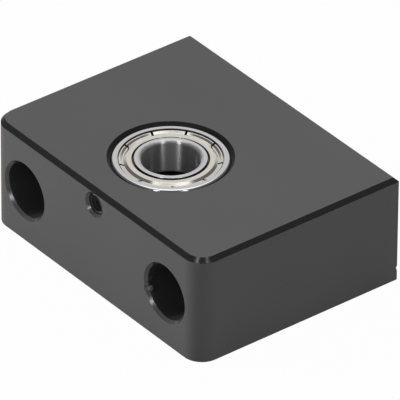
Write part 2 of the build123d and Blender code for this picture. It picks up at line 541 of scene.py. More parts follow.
@dataclass
class Shell:
    """A mesh in the making: points in millimetres, and faces with a normal at each corner."""

    points: list[Vector] = field(default_factory=list)
    faces: list[list[int]] = field(default_factory=list)
    normals: list[Vector] = field(default_factory=list)
    slots: list[int] = field(default_factory=list)

    def face(self, corners: Iterable[tuple[int, Vector]], slot: int) -> None:
        """Add a face, without a corner that repeats.

        Args:
            corners: The point number and the normal of each corner.
            slot: The face's material slot.
        """
        kept = []
        for number, normal in corners:
            if not kept or kept[-1][0] != number:
                kept.append((number, normal))
        if kept[0][0] == kept[-1][0]:
            kept.pop()
        self.faces.append([number for number, _ in kept])
        self.normals.extend(normal for _, normal in kept)
        self.slots.append(slot)

    def build(self, name: str, finishes: Sequence[Finish], place: Matrix) -> Piece:
        """Make the object, with its place in its mesh.

        Args:
            name: The object's name.
            finishes: The finish of each material slot.
            place: Where the shell's own origin and axes lie, in millimetres.

        Returns:
            The new object.
        """
        mesh = bpy.data.meshes.new(name)
        mesh.from_pydata([(place @ point) * MM for point in self.points], [], self.faces)
        mesh.polygons.foreach_set("material_index", self.slots)
        mesh.polygons.foreach_set("use_smooth", [True] * len(self.faces))
        turned = place.to_3x3()
        mesh.normals_split_custom_set([(turned @ normal).normalized() for normal in self.normals])
        for finish in finishes:
            mesh.materials.append(finish.material())
        return add_object(name, mesh)


def turned(section: Section, segments: int, begin: float = 0.0, sweep: float = 360.0) -> Shell:
    """Turn a section about the upright axis.

    Args:
        section: The section, across being the distance from the axis.
        segments: Into how many parts the sweep is cut.
        begin: Where the sweep begins, in degrees.
        sweep: How far it goes, in degrees.

    Returns:
        A closed shell; a part sweep ends in two flat caps.
    """
    shell = Shell()
    stretches = section.stretches()
    whole = sweep >= 360
    columns = segments if whole else segments + 1
    rows = []
    for stretch in stretches:
        radius, height = stretch.begin
        row = []
        for column in range(columns):
            if radius < TINY and row:
                row.append(row[0])
                continue
            spot = polar(radius, begin + sweep * column / segments)
            shell.points.append(Vector((*spot, height)))
            row.append(len(shell.points) - 1)
        rows.append(row)

    def facing(normal: Pair, column: int) -> Vector:
        """A stretch's normal, turned to a column."""
        return Vector((*polar(normal[0], begin + sweep * column / segments), normal[1]))

    for index, stretch in enumerate(stretches):
        low, high = rows[index], rows[(index + 1) % len(rows)]
        if stretch.begin[0] < TINY and stretch.end[0] < TINY:
            continue
        for column in range(segments):
            after = (column + 1) % columns
            shell.face(
                [
                    (low[column], facing(stretch.begin_normal, column)),
                    (low[after], facing(stretch.begin_normal, column + 1)),
                    (high[after], facing(stretch.end_normal, column + 1)),
                    (high[column], facing(stretch.end_normal, column)),
                ],
                stretch.slot,
            )
    if not whole:
        for column, order, side in ((0, 1, -1), (segments, -1, 1)):
            cosine, sine = polar(1.0, begin + sweep * column / segments)
            normal = Vector((-sine, cosine, 0)) * side
            shell.face([(row[column], normal) for row in rows[::order]], 0)
    return shell


def soften(mesh: bpy.types.Mesh, reach: float = 32.0) -> None:
    """Shade a mesh smoothly over shallow turns, led by the larger faces.

    Args:
        mesh: The mesh, whose corner normals are set.
        reach: Faces that turn from each other by less than this, in degrees, share a normal.
    """
    own_share = 1e-9
    around: list[list[int]] = [[] for _ in mesh.vertices]
    for face in mesh.polygons:
        for number in face.vertices:
            around[number].append(face.index)
    ways = [face.normal.copy() for face in mesh.polygons]
    sizes = [(face.area / MM**2) ** 2 for face in mesh.polygons]
    near = math.cos(math.radians(reach))
    normals = []
    for face in mesh.polygons:
        own = ways[face.index]
        for number in face.vertices:
            mean = own * own_share
            for other in around[number]:
                if own.dot(ways[other]) > near:
                    mean = mean + ways[other] * sizes[other]
            normals.append(mean.normalized())
    mesh.polygons.foreach_set("use_smooth", [True] * len(mesh.polygons))
    mesh.normals_split_custom_set(normals)


def cut(
    body: Piece,
    cutters: Sequence[Piece],
    lumps: Sequence[Piece] = (),
) -> Piece:
    """Cut shapes out of a body, add lumps to it, and let its large faces lead the shading.

    Args:
        body: The body, which is changed.
        cutters: What is cut out of it. They are removed.
        lumps: What is added to it. They are removed too.

    Returns:
        The body.
    """
    for cutter in (*cutters, *lumps):
        step = body.modifiers.new(cutter.name, "BOOLEAN")
        step.operation = "UNION" if cutter in lumps else "DIFFERENCE"
        step.solver = "EXACT"
        step.material_mode = "INDEX"
        step.object = cutter
    baked(body)
    soften(body.data)
    for cutter in (*cutters, *lumps):
        bpy.data.objects.remove(cutter)
    return body


def baked(piece: Piece) -> Piece:
    """Turn a piece's modifiers into plain mesh.

    Args:
        piece: The piece, which is changed.

    Returns:
        The piece.
    """
    bpy.context.view_layer.update()
    result = bpy.data.meshes.new_from_object(
        piece.evaluated_get(bpy.context.evaluated_depsgraph_get())
    )
    piece.modifiers.clear()
    result.name = piece.name
    piece.data = result
    return piece


def run_tree(piece: Piece, tree: Tree, inputs: dict[str, Any]) -> None:
    """Run a geometry tree with its inputs on a piece, and keep the result as plain mesh.

    Args:
        piece: The piece, which is changed.
        tree: The geometry tree.
        inputs: The value of each of its inputs, by name.
    """
    step = piece.modifiers.new(tree.name, "NODES")
    step.node_group = tree
    for item in tree.interface.items_tree:
        if item.item_type == "SOCKET" and item.in_out == "INPUT" and item.name in inputs:
            step[item.identifier] = inputs[item.name]
    baked(piece)


def new_tree(name: str, inputs: dict[str, str]) -> tuple[Tree, Inputs]:
    """Start a geometry tree.

    Args:
        name: The tree's name.
        inputs: The type of each input beside the geometry.

    Returns:
        The tree, and the socket of each input by its name.
    """
    tree = bpy.data.node_groups.new(name, "GeometryNodeTree")
    for label, kind in {"Geometry": "Geometry", **inputs}.items():
        tree.interface.new_socket(label, in_out="INPUT", socket_type=f"NodeSocket{kind}")
    tree.interface.new_socket("Geometry", in_out="OUTPUT", socket_type="NodeSocketGeometry")
    given = add_node(tree, "NodeGroupInput")
    return tree, {socket.name: socket for socket in given.outputs if socket.name}


def end_tree(tree: Tree, shape: Node, finish: Socket) -> None:
    """End a geometry tree in Realize Instances and Set Material.

    Args:
        tree: The tree.
        shape: The node that gives the shape.
        finish: The socket that gives the material.
    """
    solid = add_node(tree, "GeometryNodeRealizeInstances", {"Geometry": shape})
    dressed = add_node(tree, "GeometryNodeSetMaterial", {"Geometry": solid, "Material": finish})
    add_node(tree, "NodeGroupOutput", {0: dressed})


def repeat_around() -> Tree:
    """Make the tree that repeats a piece around the upright axis and then moves it to its place.

    Returns:
        The tree.
    """
    kinds = {"Count": "Int", "Centre": "Vector", "Finish": "Material"}
    tree, given = new_tree("repeat around", kinds)
    spots = add_node(tree, "GeometryNodePoints", {"Count": given["Count"]})
    number = add_node(tree, "GeometryNodeInputIndex")
    step = add_node(tree, "ShaderNodeMath", {0: math.tau, 1: given["Count"]}, operation="DIVIDE")
    turn = add_node(tree, "ShaderNodeMath", {0: number, 1: step}, operation="MULTIPLY")
    angles = add_node(tree, "ShaderNodeCombineXYZ", {"Z": turn})
    facing = add_node(tree, "FunctionNodeEulerToRotation", {"Euler": angles})
    rows = {"Points": spots, "Instance": given["Geometry"], "Rotation": facing}
    copies = add_node(tree, "GeometryNodeInstanceOnPoints", rows)
    move = {"Geometry": copies, "Translation": given["Centre"]}
    end_tree(tree, add_node(tree, "GeometryNodeTransform", move), given["Finish"])
    return tree


def screw_thread() -> Tree:
    """Make the tree that winds a thread's ridge along the Y axis.

    Its Root Radius is where the ridge is wide and its Crest Radius where it is narrow, so a crest
    inside the root makes the thread of a hole.

    Returns:
        The tree.
    """
    root_share, crest_share, quarter = 0.84, 0.16, math.pi / 2
    kinds = dict.fromkeys(("Root Radius", "Crest Radius", "Pitch", "Turns"), "Float")
    kinds |= {"Steps": "Int", "Start": "Vector", "Finish": "Material"}
    tree, given = new_tree("screw thread", kinds)
    pitch, narrow, wide = (given[n] for n in ("Pitch", "Crest Radius", "Root Radius"))
    depth = add_node(tree, "ShaderNodeMath", {0: narrow, 1: wide}, operation="SUBTRACT")
    height, root, crest, raised = (
        add_node(tree, "ShaderNodeMath", {0: first, 1: second}, operation="MULTIPLY")
        for first, second in (
            (pitch, given["Turns"]),
            (pitch, root_share),
            (pitch, crest_share),
            (depth, 0.5),
        )
    )
    path = {"Resolution": given["Steps"], "Rotations": given["Turns"], "Height": height}
    path |= {"Start Radius": wide, "End Radius": wide}
    helix = add_node(tree, "GeometryNodeCurveSpiral", path)
    upright = add_node(tree, "GeometryNodeSetCurveNormal", {"Curve": helix}, mode="Z_UP")
    ridge = add_node(
        tree,
        "GeometryNodeCurvePrimitiveQuadrilateral",
        {"Offset": 0.0, "Bottom Width": root, "Top Width": crest, "Height": depth},
        mode="TRAPEZOID",
    )
    offset = add_node(tree, "ShaderNodeCombineXYZ", {"Y": raised})
    seated = add_node(tree, "GeometryNodeTransform", {"Geometry": ridge, "Translation": offset})
    swung = add_node(
        tree, "GeometryNodeTransform", {"Geometry": seated, "Rotation": (0.0, 0.0, quarter)}
    )
    sweep = {"Fill Caps": True, "Curve": upright, "Profile Curve": swung}
    wound = add_node(tree, "GeometryNodeCurveToMesh", sweep)
    move = {"Geometry": wound, "Rotation": (-quarter, 0.0, 0.0), "Translation": given["Start"]}
    end_tree(tree, add_node(tree, "GeometryNodeTransform", move), given["Finish"])
    return tree


def keep(piece: Piece, body: str, slot: str, *nodes: str) -> None:
    """Let a piece ride on its body and stand for its nodes, and log it.

    Args:
        piece: The piece.
        body: The body of the record that it moves with.
        slot: Not used.
        nodes: The CAD nodes that it replaces.
    """
    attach(piece, body)
    if nodes:
        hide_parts(*nodes)
    LOG.info("%s: %d faces, rides on %s", piece.name, len(piece.data.polygons), body)


# The outside: an even charcoal with a soft sheen.
BLASTED = BlastedAnodise()
# A chamfer: nearly black, with a thin line of light along it.
CUT = MachinedBlack()
# The seat's chamfered mouth: rough, in a darker copy of the chamfer finish that is painted shade, so
# it shows as a plain black line around the bearing.
SEAT_PAINTED_SHADE = MachinedBlack(
    name="black anodised aluminium, bored seat",
    colour="#161617",
    roughness=0.5,
    oxide_ior=1.4,
    cutter_line=0.2,
)
# The inside of a drilled hole: dull, and lighter near its mouth.
BORED = MachinedBlack(
    name="black anodised aluminium, drilled bore", colour="#3f3f40", roughness=0.42, cutter_line=0.2
)
# The tapped thread: black anodise in a much lighter colour, a painted highlight, so each crest shows
# as a bright turn.
THREAD_PAINTED_HIGHLIGHT = MachinedBlack(
    name="black anodised aluminium, tapped thread", colour="#949496", roughness=0.3
)
# A countersink's smooth cone, in a lighter copy of the chamfer finish that is painted light: a clear
# bright crescent at each hole's mouth.
MOUTH_PAINTED_LIGHT = MachinedBlack(
    name="black anodised aluminium, countersunk mouth",
    colour="#454546",
    roughness=0.2,
    oxide_ior=2.1,
)
# Metal where the anodise is gone: a pale fleck in the black.
BARE = Steel(
    name="aluminium, bare where the anodise is chipped",
    colour="#d8d8d6",
    roughness=0.35,
    lay=Lay.NONE,
    mottle_size=0.1,
)
# Black oxide on steel: near black, with a soft sheen.
SET_SCREW_STEEL = MachinedBlack(
    name="alloy steel, black oxide", colour="#262627", roughness=0.38, cutter_line=0.15
)
# The rings' faces: bright, with fine grinding lines around the axis.
GROUND = Steel(colour="#d5d5d8")
# The bore, ground around: a light above it draws an upright streak.
BORE_GROUND = Steel(
    name="hardened bearing steel, ground bore", colour="#dcdcde", roughness=0.38, anisotropy=1.0
)
# The shields: stainless sheet, slightly warm, with drawing lines around the axis.
PRESSED = Steel(
    name="stainless steel shield, pressed",
    colour="#e2dfd8",
    roughness=0.15,
    anisotropy=0.2,
    line_pitch=0.08,
)
# The raceways and the rings' hidden faces: steel under a film of old grease, in a dark brown that is
# partly the grease's own colour and partly painted shade, so the shields' slots look dark.
GREASED = Steel(name="bearing steel under grease", colour="#57504a", roughness=0.3, lay=Lay.NONE)
# The balls: a mirror with no direction to it.
BALL_STEEL = Steel(
    name="bearing steel ball, lapped", colour="#dedee0", roughness=0.08, lay=Lay.NONE
)
# The cage: a dull, pale grey strip.
CAGE_STEEL = Steel(
    name="mild steel cage, pressed", colour="#c2c0bb", roughness=0.32, lay=Lay.NONE, mottle_size=0.4
)
BLOCK_FINISHES = (BLASTED, CUT, BORED, BARE, SEAT_PAINTED_SHADE, MOUTH_PAINTED_LIGHT)


class Slot(IntEnum):
    """The block's material slots, in the order of its finishes."""

    BLASTED = 0
    CUT = 1
    BORED = 2
    BARE = 3
    SEAT = 4
    MOUTH = 5


@dataclass(frozen=True)
class Scar:
    """A chip knocked out of an edge or a burr left on it: a ragged ball."""

    place: Vector
    size: tuple[float, float, float]
    seed: float
    slot: int
    ragged: float = 0.7

    def build(self, name: str, finishes: Sequence[Finish]) -> Piece:
        """Make the ball.

        Args:
            name: Its name.
            finishes: The finishes of the block that it belongs to.

        Returns:
            The ball.
        """
        step, facets, rate = 15.0, 20, 1.7
        ball = Section([Bend(0.0, 0.0, 1.0, -90, 90, self.slot)], closed=False, bend_step=step)
        shell = turned(ball, facets)
        for number, point in enumerate(shell.points):
            swell = noise.noise(point * rate + Vector((self.seed, 0, 0)))
            shell.points[number] = point * (1 + self.ragged * swell)
        place = Matrix.Translation(self.place) @ Matrix.Diagonal((*self.size, 1))
        return shell.build(name, finishes, place)


@dataclass
class Block:
    """The machined block, with its seat, passage, bolt bores and tapped hole."""

    low: Vector
    high: Vector
    axis: Pair
    seat_radius: float
    seat_depth: float
    passage_radius: float
    bolts_x: Sequence[float]
    bolt_height: float
    head_radius: float
    head_depth: float
    bolt_radius: float
    tapped_height: float
    tapped_radius: float
    corner_radius: float = 3.0
    back_edge_radius: float = 0.15
    top_chamfer: float = 0.6
    under_break: float = 0.15
    soft_edge: float = 0.06
    seat_chamfer: float = 0.55
    passage_chamfer: float = 0.4
    head_chamfer: float = 0.4
    tapped_chamfer: float = 0.37
    tapped_depth: float = 6.9
    mouth_band: float = 0.8
    dent_height: float = 1.9
    dent_radius: float = 0.6
    dent_depth: float = 0.25
    fleck_angle: float = 144.5
    corner_steps: int = 24
    seat_facets: int = 192
    bore_facets: int = 128
    tapped_facets: int = 64
    dent_facets: int = 48

    def _outline(self, inset: float) -> list[Vector]:
        """The block's outline seen from above, drawn in by an inset.

        Args:
            inset: How far the outline is drawn in.

        Returns:
            Its points, the same number for every inset.
        """
        found = []
        front, back = self.corner_radius, self.back_edge_radius
        corners = (
            (self.high.x, self.low.y, front, -90),
            (self.high.x, self.high.y, back, 0),
            (self.low.x, self.high.y, back, 90),
            (self.low.x, self.low.y, front, 180),
        )
        for x, y, radius, begin in corners:
            inward = Vector((-1 if x > 0 else 1, -1 if y > 0 else 1))
            rounding = max(radius - inset, self.soft_edge / 4)
            middle = Vector((x, y)) + inward * (inset + rounding)
            for step in range(self.corner_steps + 1):
                angle = begin + 90 * step / self.corner_steps
                found.append(middle + Vector(polar(1.0, angle)) * rounding)
        return found

    def _blank(self) -> Piece:
        """The block before its holes, as a stack of outlines. Its normals are set after the cut.

        Returns:
            The blank.
        """
        top, soft = self.high.z, self.soft_edge
        side = Section.of(
            (-self.corner_radius, 0.0),
            (-self.under_break, 0.0, soft, Slot.CUT),
            (0.0, self.under_break, soft),
            (0.0, top - self.top_chamfer, soft, Slot.CUT),
            (-self.top_chamfer, top, soft),
            (-self.corner_radius, top),
            closed=False,
        )
        shell = Shell()
        stretches = side.stretches()[1:-1]
        levels = [stretch.begin for stretch in stretches] + [stretches[-1].end]
        for across, height in levels:
            shell.points.extend(Vector((p.x, p.y, height)) for p in self._outline(-across))
        count = 4 * (self.corner_steps + 1)
        upward = Vector((0, 0, 1))
        for index, stretch in enumerate(stretches):
            for step in range(count):
                after = (step + 1) % count
                low, high = index * count, (index + 1) * count
                corners = (low + step, low + after, high + after, high + step)
                shell.face([(number, upward) for number in corners], stretch.slot)
        last = len(shell.points) - count
        shell.face([(number, upward) for number in range(last, last + count)], 0)
        shell.face([(number, upward) for number in reversed(range(count))], 0)
        return shell.build("block_body", BLOCK_FINISHES, Matrix.Identity(4))

    def _hole(
        self,
        name: str,
        place: Matrix,
        steps: Sequence[Pair],
        chamfer: float,
        segments: int,
        slot: int = Slot.CUT,
    ) -> Piece:
        """The space of a round hole with a chamfered, softly rounded mouth.

        Args:
            name: The hole's name.
            place: Its mouth, with the axis pointing out of the block.
            steps: Radius and depth of each length of the hole, the deepest first.
            chamfer: The chamfer at the mouth.
            segments: How many facets go around it.
            slot: The chamfer's material slot.

        Returns:
            The cutter.
        """
        proud, above, lip = 0.003, 1.0, 3 * self.soft_edge
        parts = [Corner(0.0, -steps[0][1], 0.0, Slot.BORED)]
        for index, (radius, depth) in enumerate(steps):
            parts.append(Corner(radius, -depth, 0.0, Slot.BORED))
            if index + 1 < len(steps):
                parts.append(Corner(radius, -steps[index + 1][1], 0.0, Slot.BORED))
        mouth = steps[-1][0]
        rim = mouth + chamfer
        parts += [
            Corner(mouth, -chamfer - self.mouth_band, 0.0, Slot.BORED),
            Corner(mouth, -chamfer, self.soft_edge, slot),
            Corner(rim, proud, self.soft_edge, slot),
            Corner(rim + lip, proud, 0.0, slot),
            Corner(rim + lip, above),
            Corner(0.0, above),
        ]
        return turned(Section(parts), segments).build(name, BLOCK_FINISHES, place)

    def _dent(self) -> Piece:
        """The shallow knock in the sharp upright edge at the back right.

        Returns:
            Its cutter.
        """
        outward = (self.dent_radius - self.dent_depth) / math.sqrt(2)
        place = Matrix.Translation((self.high.x + outward, self.high.y + outward, self.dent_height))
        ball = Section([Bend(0.0, 0.0, self.dent_radius, -90, 90, Slot.CUT)], closed=False)
        return turned(ball, self.dent_facets).build("dent", BLOCK_FINISHES, place)

    def _rim(self, angle: float, radius: float, depth: float) -> Vector:
        """A place at the right head bore's mouth, by angle, distance from its axis and depth."""
        across, up = polar(radius, angle)
        return Vector((self.bolts_x[-1] + across, self.low.y + depth, self.bolt_height + up))

    def _burrs(self) -> list[Piece]:
        """The ragged burr in the right head bore and the bright fleck on the seat's far rim.

        Returns:
            The lumps.
        """
        across, along = polar(self.seat_radius + self.seat_chamfer, self.fleck_angle)
        fleck = Vector((self.axis[0] + across, self.axis[1] + along, self.high.z))
        # Two of the burrs take the front holes' lighter chamfer colour, which is painted light.
        scars = (
            Scar(self._rim(199, 3.74, 0.5), (0.42, 0.36, 0.42), 3.1, Slot.BLASTED, 0.3),
            Scar(self._rim(192, 3.98, 0.35), (0.14, 0.3, 0.3), 7.7, Slot.MOUTH, 0.3),
            Scar(self._rim(181, 4.0, 1.3), (0.07, 0.55, 0.4), 5.2, Slot.MOUTH, 0.4),
            Scar(fleck - Vector((0, 0, 0.075)), (0.08, 0.08, 0.05), 2.4, Slot.BARE),
        )
        return [scar.build(f"burr_{i}", BLOCK_FINISHES) for i, scar in enumerate(scars)]

    def _chip(self) -> Piece:
        """The chip knocked out of the right head bore's chamfer beside the burr."""
        # The chip takes the front holes' lighter chamfer colour, which is painted light.
        chip = Scar(self._rim(199, 4.32, 0.02), (0.26, 0.16, 0.5), 9.4, Slot.MOUTH, 0.4)
        return chip.build("chip_0", BLOCK_FINISHES)

    def build(self) -> None:
        """Make the block and put it in the CAD block's place."""
        upright = Matrix.Translation((*self.axis, self.high.z))
        under = Matrix.Translation((*self.axis, 0.0)) @ Matrix.Rotation(math.pi, 4, "X")
        forward = Matrix.Rotation(math.pi / 2, 4, "X")
        seat = [(self.seat_radius, self.seat_depth)]
        spare = 1.0
        passage = [(self.passage_radius, self.high.z - spare)]
        through = self.high.y - self.low.y + spare
        bolt = [(self.bolt_radius, through), (self.head_radius, self.head_depth)]
        tapped = [(self.tapped_radius, self.tapped_depth)]
        cutters = [
            # The seat's chamfer takes the darker copy of the chamfer finish: painted shade around
            # the bearing.
            self._hole("seat", upright, seat, self.seat_chamfer, self.seat_facets, Slot.SEAT),
            self._hole("passage", under, passage, self.passage_chamfer, self.bore_facets),
            self._dent(),
        ]
        bored = (self.bolt_height, bolt, self.head_chamfer, self.bore_facets)
        threaded = (self.tapped_height, tapped, self.tapped_chamfer, self.tapped_facets)
        fronts = {x: bored for x in self.bolts_x} | {self.axis[0]: threaded}
        for x, (height, steps, chamfer, facets) in fronts.items():
            place = Matrix.Translation((x, self.low.y, height)) @ forward
            name = f"front_bore_{len(cutters)}"
            # The front holes' chamfers take the lighter copy of the chamfer finish: painted light.
            cutters.append(self._hole(name, place, steps, chamfer, facets, Slot.MOUTH))
        made = cut(self._blank(), [*cutters, self._chip()], self._burrs())
        keep(made, "housing", "block", "bearing_block")


@dataclass
class TappedHole:
    """The thread in the small front hole and the grub screw behind it."""

    mouth: Vector
    screw_front: float
    screw_back: float
    radius: float = TAPPED_RADIUS
    core_radius: float = 1.23
    pitch: float = 0.5
    chamfer: float = 0.35
    end_chamfer: float = 0.28
    socket_radius: float = 0.87
    socket_depth: float = 1.2
    cup_radius: float = 0.7
    screw_play: float = 0.01
    thread_start: float = 0.9
    thread_sink: float = 0.01
    turn_steps: int = 40
    facets: int = 64

    def _hole_thread(self) -> Piece:
        """The ridges of the hole's thread, from its chamfer to the screw.

        Returns:
            The thread.
        """
        name = "tapped_hole_thread"
        made = add_object(name, bpy.data.meshes.new(name))
        inputs = {
            "Root Radius": (self.radius + self.thread_sink) * MM,
            "Crest Radius": self.core_radius * MM,
            "Pitch": self.pitch * MM,
            "Turns": (self.screw_front - self.mouth.y - self.chamfer) / self.pitch,
            "Steps": self.turn_steps,
            "Start": (self.mouth + Vector((0, self.chamfer * self.thread_start, 0))) * MM,
            # The thread's lighter colour is a painted highlight on its crests.
            "Finish": THREAD_PAINTED_HIGHLIGHT.material(),
        }
        run_tree(made, screw_thread(), inputs)
        return made

    def _screw(self) -> Piece:
        """The grub screw, with chamfered ends, a cup point and a hexagon socket.

        Returns:
            The screw.
        """
        length = self.screw_back - self.screw_front
        radius = self.radius - self.screw_play
        body = Section.of(
            (0.0, -length + self.cup_radius),
            (self.cup_radius, -length),
            (radius - self.end_chamfer, -length),
            (radius, -length + self.end_chamfer),
            (radius, -self.end_chamfer),
            (radius - self.end_chamfer, 0.0),
            (0.0, 0.0),
        )
        place = Matrix.Translation((self.mouth.x, self.screw_front, self.mouth.z))
        place = place @ Matrix.Rotation(math.pi / 2, 4, "X")
        made = turned(body, self.facets).build("set_screw_body", (SET_SCREW_STEEL,), place)
        sides, drill_point, above = 6, 0.3, 0.5
        hexagon = Section.of(
            (0.0, -self.socket_depth - drill_point),
            (self.socket_radius, -self.socket_depth),
            (self.socket_radius, above),
            (0.0, above),
        )
        socket = turned(hexagon, sides).build("socket", (SET_SCREW_STEEL,), place)
        return cut(made, [socket])

    def build(self) -> None:
        """Make both and put them in place."""
        keep(self._hole_thread(), "housing", "block")
        keep(self._screw(), "housing", "set_screw", "bearing_set_screw")


class Coat(IntEnum):
    """A ring's material slots."""

    GROUND = 0
    # Raceways and hidden faces: the grease's colour, darkened further as painted shade.
    GREASED = 1
    BORE = 2


@dataclass
class Bearing:
    """The shielded ball bearing, with its axis upright."""

    centre: Vector
    bore_radius: float
    outer_radius: float
    half_width: float
    ball_radius: float
    face_width: float = 0.93
    bore_round: float = 0.45
    outer_round: float = 0.4
    mouth_round: float = 0.05
    land_offset: float = 0.75
    groove_conformity: float = 1.04
    ball_play: float = 0.01
    seat_drop: float = 0.55
    rim_gap: float = 0.09
    crimp_depth: float = 0.13
    crimp_lip: float = 0.3
    crimp_fit: float = 0.03
    sheet: float = 0.2
    shield_drop: float = 0.1
    bore_gap: float = 0.3
    rim_width: float = 0.2
    rim_drop: float = 0.16
    slope_width: float = 0.3
    valley_width: float = 0.54
    valley_drop: float = 0.34
    step_wall: float = 0.42
    fold: float = 0.08
    slot_count: int = 9
    slot_width: float = 0.34
    slot_turn: float = 4.2
    segments: int = 192
    rim_segments: int = 20
    hub_round: float = 0.04
    flat_round: float = 0.07
    fold_round: float = 0.03
    seat_round: float = 0.02
    rim_round: float = 0.06

    def _about_axis(self, finish: Steel) -> Steel:
        """A finish with its lines around the bearing's axis."""
        return replace(finish, centre=(self.centre.x, self.centre.y))

    @property
    def pitch_radius(self) -> float:
        """The radius of the circle through the balls' middles."""
        return (self.bore_radius + self.outer_radius) / 2

    def _ring(self, name: str, section: Section, *finishes: Steel) -> Piece:
        """A ring turned about the bearing's axis."""
        coats = [self._about_axis(finish) for finish in finishes]
        return turned(section, self.segments).build(name, coats, Matrix.Translation(self.centre))

    def _groove(self, side: int) -> Bend:
        """The ball groove of a ring.

        Args:
            side: 1 for the inner ring, -1 for the outer one.

        Returns:
            The groove, as a bend in the ring's section.
        """
        radius = self.ball_radius * self.groove_conformity
        bottom = self.pitch_radius - side * (self.ball_radius + self.ball_play)
        land = self.pitch_radius - side * self.land_offset
        middle = bottom + side * radius
        reach = math.degrees(math.acos(abs(land - middle) / radius))
        if side > 0:
            return Bend(middle, 0.0, radius, 180 + reach, 180 - reach, Coat.GREASED)
        return Bend(middle, 0.0, radius, reach, -reach, Coat.GREASED)

    def _inner_ring(self) -> Piece:
        """The ring that turns with the screw.

        Returns:
            The inner ring.
        """
        bore, face, top = self.bore_radius, self.bore_radius + self.face_width, self.half_width
        land, step = self.pitch_radius - self.land_offset, self.half_width - self.seat_drop
        section = Section.of(
            (bore, -top, self.bore_round),
            (face, -top, self.mouth_round),
            (face, -step, self.mouth_round, Coat.GREASED),
            (land, -step, self.mouth_round, Coat.GREASED),
            self._groove(1),
            (land, step, self.mouth_round, Coat.GREASED),
            (face, step, self.mouth_round),
            (face, top, self.mouth_round),
            (bore, top, self.bore_round, Coat.BORE),
        )
        return self._ring("inner_ring_ground", section, GROUND, GREASED, BORE_GROUND)

    def _outer_ring(self) -> Piece:
        """The ring that sits in the block, grooved at each face for a shield's rim.

        Returns:
            The outer ring.
        """
        outside, top = self.outer_radius, self.half_width
        mouth = outside - self.face_width
        crimp = mouth + self.crimp_depth
        land = self.pitch_radius + self.land_offset
        seat, lip = top - self.seat_drop, top - self.crimp_lip
        section = Section.of(
            (outside, -top, self.outer_round),
            (outside, top, self.outer_round),
            (mouth, top, self.mouth_round, Coat.GREASED),
            (mouth, lip, self.mouth_round / 2, Coat.GREASED),
            (crimp, lip, 0.0, Coat.GREASED),
            (crimp, seat, 0.0, Coat.GREASED),
            (land, seat, self.mouth_round, Coat.GREASED),
            self._groove(-1),
            (land, -seat, self.mouth_round, Coat.GREASED),
            (crimp, -seat, 0.0, Coat.GREASED),
            (crimp, -lip, 0.0, Coat.GREASED),
            (mouth, -lip, self.mouth_round / 2, Coat.GREASED),
            (mouth, -top, self.mouth_round),
        )
        return self._ring("outer_ring_ground", section, GROUND, GREASED)

    def _shield(self, name: str, turn_over: Matrix, repeat: Tree) -> Piece:
        """A shield: a flat annulus, and a rim of segments between its slots.

        Args:
            name: The piece's name.
            turn_over: How it is turned from closing the bearing's top.
            repeat: The tree that repeats a rim segment.

        Returns:
            The finished piece.
        """
        top, bend = self.half_width, self.sheet / 2
        mouth = self.outer_radius - self.face_width
        rim_out = mouth - self.rim_gap
        rim_in = rim_out - self.rim_width
        valley = rim_in - self.slope_width
        flat = valley - self.valley_width
        crimp = mouth + self.crimp_depth - self.crimp_fit
        hub = self.bore_radius + self.face_width + self.bore_gap
        land = self.pitch_radius + self.land_offset
        low, high = top - self.valley_drop, top - self.shield_drop
        rim_top, seat = top - self.rim_drop, top - self.seat_drop
        crimp_top = top - self.crimp_lip - self.crimp_fit
        step = flat + self.step_wall
        annulus = Section.of(
            (hub, high - self.sheet, self.hub_round),
            (flat - self.fold, high - self.sheet, self.fold_round),
            (step - self.fold, low - self.sheet, self.hub_round),
            (step, low - self.sheet),
            (step, low),
            (flat, high, self.flat_round),
            (hub, high, self.hub_round),
        )
        segment = Section.of(
            (step, low - self.sheet),
            (valley + self.fold, low - self.sheet, bend),
            (land - self.fold, seat, self.fold_round),
            (crimp, seat, self.seat_round),
            (crimp, crimp_top, self.seat_round),
            (rim_out, crimp_top, self.seat_round),
            (rim_out, rim_top, self.rim_round),
            (rim_in, rim_top, self.rim_round),
            (valley, low, bend),
            (step, low),
        )
        pitch = 360 / self.slot_count
        gap = math.degrees(self.slot_width / ((step + rim_out) / 2))
        finish = self._about_axis(PRESSED)
        rim = turned(segment, self.rim_segments, self.slot_turn + gap / 2, pitch - gap)
        made = rim.build(name, (finish,), turn_over)
        ring = {"Count": self.slot_count, "Centre": self.centre * MM, "Finish": finish.material()}
        run_tree(made, repeat, ring)
        place = Matrix.Translation(self.centre) @ turn_over
        middle = turned(annulus, self.segments).build(f"{name}_hub", (finish,), place)
        both = {"active_object": made, "selected_editable_objects": [made, middle]}
        with bpy.context.temp_override(**both):
            bpy.ops.object.join()
        return made

    def build(self) -> None:
        """Make the rings and shields, and put them in place."""
        keep(self._inner_ring(), "inner_ring", "rings", "inner_ring")
        keep(self._outer_ring(), "housing", "rings", "outer_ring")
        repeat = repeat_around()
        upper = self._shield("upper_shield_pressed", Matrix.Identity(4), repeat)
        keep(upper, "housing", "shields", "upper_shield")
        lower = self._shield("lower_shield_pressed", Matrix.Rotation(math.pi, 4, "X"), repeat)
        keep(lower, "housing", "shields", "lower_shield")


class Lamp(Enum):
    """The tent's lamps: azimuth and elevation in degrees, distance, size and power in watts."""

    LEFT = (-140.0, 6.0, 450.0, (220.0, 100.0), 2.02)
    RIGHT = (48.0, 15.0, 450.0, (260.0, 260.0), 0.56)
    TOP = (135.0, 74.0, 420.0, (320.0, 320.0), 0.38)
    NEAR_LEFT = (-69.0, 32.0, 520.0, (40.0, 520.0), 0.37)
    NEAR_RIGHT = (-8.0, 32.0, 520.0, (40.0, 520.0), 0.25)


